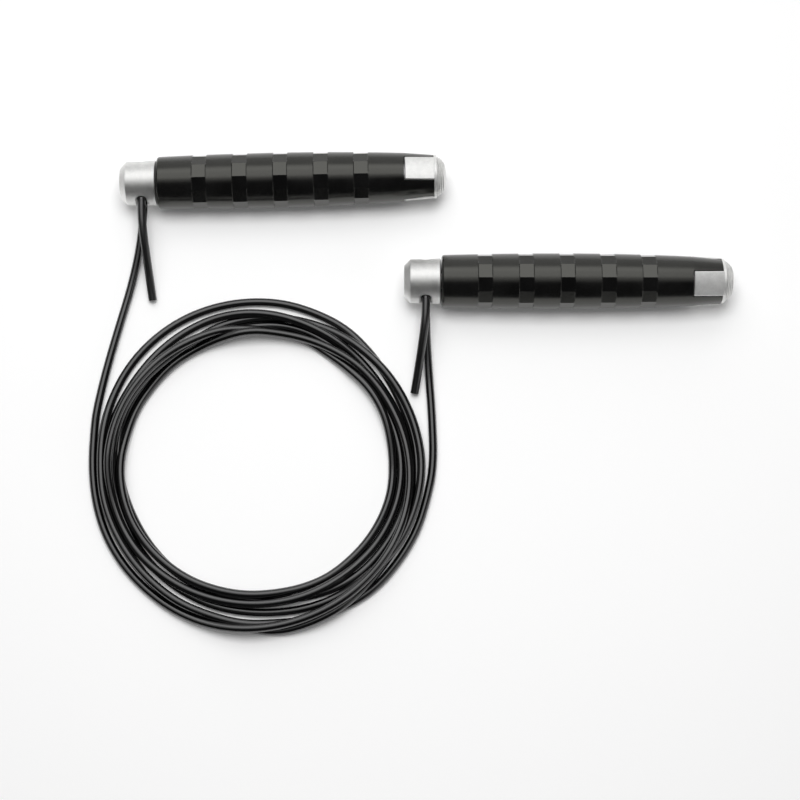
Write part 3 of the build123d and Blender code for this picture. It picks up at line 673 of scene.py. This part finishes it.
def mould_grip(side, tree, material):
    """Runs the rule for one handle and keeps the result as a plain mesh."""
    blank = add_object("grip_blank", bpy.data.meshes.new("grip_blank"))
    modifier = blank.modifiers.new("barrel_grip_rule", "NODES")
    modifier.node_group = tree
    values = GRIP_SIZES | GRIP_COUNTS | {
        "Place": GRIP_SPIN[side]["pos_m"], "Turn": (GRIP_ROLL[side], 0.0, PLAN_TURN[side]),
        "Finish": material}
    for socket in tree.interface.items_tree:
        if socket.in_out == "INPUT":
            modifier[socket.identifier] = values[socket.name]
    shaped = blank.evaluated_get(bpy.context.evaluated_depsgraph_get())
    mesh = bpy.data.meshes.new_from_object(shaped)
    mesh.materials.clear()
    mesh.materials.append(material)
    bpy.data.objects.remove(blank)
    return add_object("barrel_grip_" + side, mesh)


# Butt caps
def place_on_handle(side, along, across, up):
    """A place in a handle's own millimetres, behind its grip, as a place on the bench."""
    roll, turn, front = GRIP_ROLL[side], PLAN_TURN[side], HEAD_FRONT[side]
    x = GRIP_END + along / MM_PER_M
    y = (across * math.cos(roll) - up * math.sin(roll)) / MM_PER_M
    z = (across * math.sin(roll) + up * math.cos(roll)) / MM_PER_M
    return (front[0] + x * math.cos(turn) - y * math.sin(turn),
            front[1] + x * math.sin(turn) + y * math.cos(turn), front[2] + z)


def turned_outline():
    """The cap's outline, swept round the axis into a closed ring: its corners and faces."""
    corners, faces = [], []
    count = len(CAP_OUTLINE)
    for step in range(CAP_STEPS_ROUND):
        angle = 2 * math.pi * step / CAP_STEPS_ROUND
        corners += [(along, radius * math.sin(angle), radius * math.cos(angle))
                    for along, radius in CAP_OUTLINE]
        start = step * count
        after = (step + 1) % CAP_STEPS_ROUND * count
        for point in range(count):
            beside = (point + 1) % count
            faces.append((start + point, start + beside, after + beside, after + point))
    return corners, faces


def keyed_tab(angle):
    """One tab at its angle round the axis, nearly flat on top, that falls with the grip's taper:
    its corners and faces."""
    corners, faces = [], []
    flank = TAB_HALF_WIDTH - TAB_CHAMFER
    sections = ((TAB_START, TAB_TOP_START - TAB_CHAMFER),
                (TAB_START + TAB_CHAMFER, TAB_TOP_START), (TAB_END, TAB_TOP_END))
    for along, top in sections:
        shoulder = top - TAB_CROWN + math.sqrt(TAB_CROWN**2 - flank**2) - TAB_CHAMFER
        outline = [(TAB_HALF_WIDTH, shoulder), (TAB_HALF_WIDTH, TAB_UNDERSIDE),
                   (-TAB_HALF_WIDTH, TAB_UNDERSIDE), (-TAB_HALF_WIDTH, shoulder)]
        for step in range(TAB_STEPS_ACROSS + 1):
            across = flank * (2 * step / TAB_STEPS_ACROSS - 1)
            outline.append((across, top - TAB_CROWN + math.sqrt(TAB_CROWN**2 - across**2)))
        corners += [(along, across * math.cos(angle) - up * math.sin(angle),
                     across * math.sin(angle) + up * math.cos(angle)) for across, up in outline]
    count = len(outline)
    last = (len(sections) - 1) * count
    for start in range(0, last, count):
        for point in range(count):
            beside = (point + 1) % count
            faces.append((start + point, start + beside,
                          start + count + beside, start + count + point))
    faces += [tuple(range(count)), tuple(range(last, last + count))]
    return corners, faces


def turn_cap(side, material):
    """The whole cap of one handle, with its edges broken."""
    corners, faces = turned_outline()
    tabs = GRIP_COUNTS["Slots"]
    for number in range(tabs):
        tab_corners, tab_faces = keyed_tab(2 * math.pi * number / tabs)
        first = len(corners)
        corners += tab_corners
        faces += [tuple(first + corner for corner in face) for face in tab_faces]
    mesh = bpy.data.meshes.new("keyed_butt_cap_" + side)
    mesh.from_pydata([place_on_handle(side, *corner) for corner in corners], [], faces)
    solid = bmesh.new()
    solid.from_mesh(mesh)
    bmesh.ops.recalc_face_normals(solid, faces=solid.faces)
    solid.to_mesh(mesh)
    solid.free()
    mesh.shade_smooth()
    mesh.set_sharp_from_angle(angle=CAP_CRISP_ANGLE)
    mesh.materials.append(material)
    cap = add_object("keyed_butt_cap_" + side, mesh)
    edges = cap.modifiers.new("broken_edges", "BEVEL")
    edges.width = CAP_BROKEN_EDGE
    edges.segments = 2
    edges.limit_method = "ANGLE"
    edges.angle_limit = CAP_BROKEN_ANGLE
    edges.harden_normals = True
    return cap


def finish_node(name, material):
    """Gives a CAD part its finish."""
    node = frame["nodes"][name]
    node.data.materials.clear()
    node.data.materials.append(material)


# Bench, light and camera
def bench_top():
    """The white bench. It looks a little lighter than the light on it makes it, but only to the
    camera and in gloss, so that it throws no more light on the parts."""
    mesh = bpy.data.meshes.new("bench_top")
    mesh.from_pydata([(-BENCH_HALF, -BENCH_HALF, 0), (BENCH_HALF, -BENCH_HALF, 0),
                      (BENCH_HALF, BENCH_HALF, 0), (-BENCH_HALF, BENCH_HALF, 0)], [],
                     [(0, 1, 2, 3)])
    material, tree, shader = new_material("bench_white")
    shader.inputs["Base Color"].default_value = plain_colour(0.93, 0.93, 0.93)
    shader.inputs["Roughness"].default_value = 0.9
    shader.inputs["Specular IOR Level"].default_value = 0.0
    rays = tree.nodes.new("ShaderNodeLightPath").outputs
    seen = calc(tree, "MAXIMUM", rays["Is Camera Ray"], rays["Is Glossy Ray"])
    shader.inputs["Emission Color"].default_value = plain_colour(1.0, 1.0, 1.0)
    tree.links.new(calc(tree, "MULTIPLY", seen, BENCH_LIFT), shader.inputs["Emission Strength"])
    mesh.materials.append(material)
    bench = add_object("bench_top", mesh)


def studio_room():
    """A dark room. The middle of its far half is bright, from the floor up over the bench, a
    paler strip runs low down on the far side and the left, and a white card stands on the right."""
    world = bpy.data.worlds.new("studio")
    bpy.context.scene.world = world
    world.use_nodes = True
    tree = world.node_tree
    towards = tree.nodes.new("ShaderNodeTexCoord").outputs["Generated"]
    axes = tree.nodes.new("ShaderNodeSeparateXYZ")
    tree.links.new(towards, axes.inputs["Vector"])
    right, far, up = axes.outputs
    aside = calc(tree, "ABSOLUTE", calc(tree, "SUBTRACT", right, WALL_MIDDLE))
    wall = calc(tree, "MULTIPLY", spread(tree, far, *WALL_FROM_NEAR),
                spread(tree, aside, *WALL_FROM_SIDES))
    far_or_left = calc(tree, "MULTIPLY", spread(tree, far, *STRIP_FROM_NEAR),
                       spread(tree, right, *STRIP_FROM_RIGHT))
    low = spread(tree, up, *STRIP_FROM_ABOVE, to_high=STRIP_LIGHT)
    strip = calc(tree, "MULTIPLY", low, far_or_left)
    card = spread(tree, facing(tree, towards, CARD_TOWARDS), *CARD_FROM_EDGE)
    lit = calc(tree, "MAXIMUM", calc(tree, "MAXIMUM", wall, strip), card)
    colour = blend_colours(tree, lit, ROOM_DARK, ROOM_BRIGHT)
    tree.links.new(colour, tree.nodes["Background"].inputs["Color"])


def hang_lamp(name, radiance, lean, x, across, deep, in_gloss):
    """One rectangular lamp, with its power set by its size and how bright its face is."""
    light = bpy.data.lights.new(name, "AREA")
    light.shape = "RECTANGLE"
    light.size = across
    light.size_y = deep
    light.energy = radiance * math.pi * across * deep
    lean = math.radians(lean)
    lamp = add_object(name, light)
    lamp.location = (x, LAMP_AIM_Y + math.sin(lean), math.cos(lean))
    lamp.rotation_euler = (-lean, 0.0, 0.0)
    lamp.visible_glossy = in_gloss


def bench_camera():
    """The view down on the bench, from above its near side."""
    data = bpy.data.cameras.new("bench_camera")
    data.lens = CAMERA_LENS
    data.sensor_width = CAMERA_SENSOR
    camera = add_object("bench_camera", data)
    camera.location = CAMERA_PLACE
    camera.rotation_euler = (CAMERA_TILT, 0.0, 0.0)
    bpy.context.scene.camera = camera


# The rope: one spline from head to head, and its two short free ends
rope_gloss = rope_plastic("rope_gloss", low=0.14, high=0.2, depth=0.00001)
rope_scuffed = rope_plastic("rope_scuffed", low=0.26, high=0.36, depth=0.00002)
rope_run = lay_rope("rope_run", LEAD_A + coil_points() + LEAD_B[::-1])
tail_a = lay_rope("rope_free_end_a", TAIL_A)
tail_b = lay_rope("rope_free_end_b", TAIL_B)
for rope in (rope_run, tail_a, tail_b):
    rope.data.materials.append(rope_gloss if rope is rope_run else rope_scuffed)
    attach(rope, "rope_and_heads")
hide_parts("rope_lead_a", "rope_coil", "rope_lead_b")
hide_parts("rope_tail_a")
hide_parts("rope_tail_b")

# The handles: a grip and a cap for each, and a finish for every other part
barrel_rule = grip_rule()
cage_nylon = natural_nylon()
for side in "ab":
    grip = mould_grip(side, barrel_rule, black_grip_plastic(side))
    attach(grip, "grip_assembly_" + side)
    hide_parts("grip_" + side)
    cap = turn_cap(side, satin_aluminium("cap", side, CAP_BARE_METAL))
    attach(cap, "grip_assembly_" + side)
    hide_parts("butt_cap_" + side)
    finish_node("head_" + side, satin_aluminium("head", side, HEAD_BARE_METAL))
    finish_node("rope_fold_" + side, rope_gloss)
    for metal, parts in METAL_PARTS.items():
        finish = turned_metal(metal, side, *METALS[metal])
        for part in parts:
            finish_node(f"{part}_{side}", finish)
    for cage in ("front_cage_", "rear_cage_"):
        finish_node(cage + side, cage_nylon)

bench_top()
studio_room()
for name, sizes in LAMPS.items():
    hang_lamp(name, **sizes)
bench_camera()
bpy.context.scene.view_settings.view_transform = "Standard"
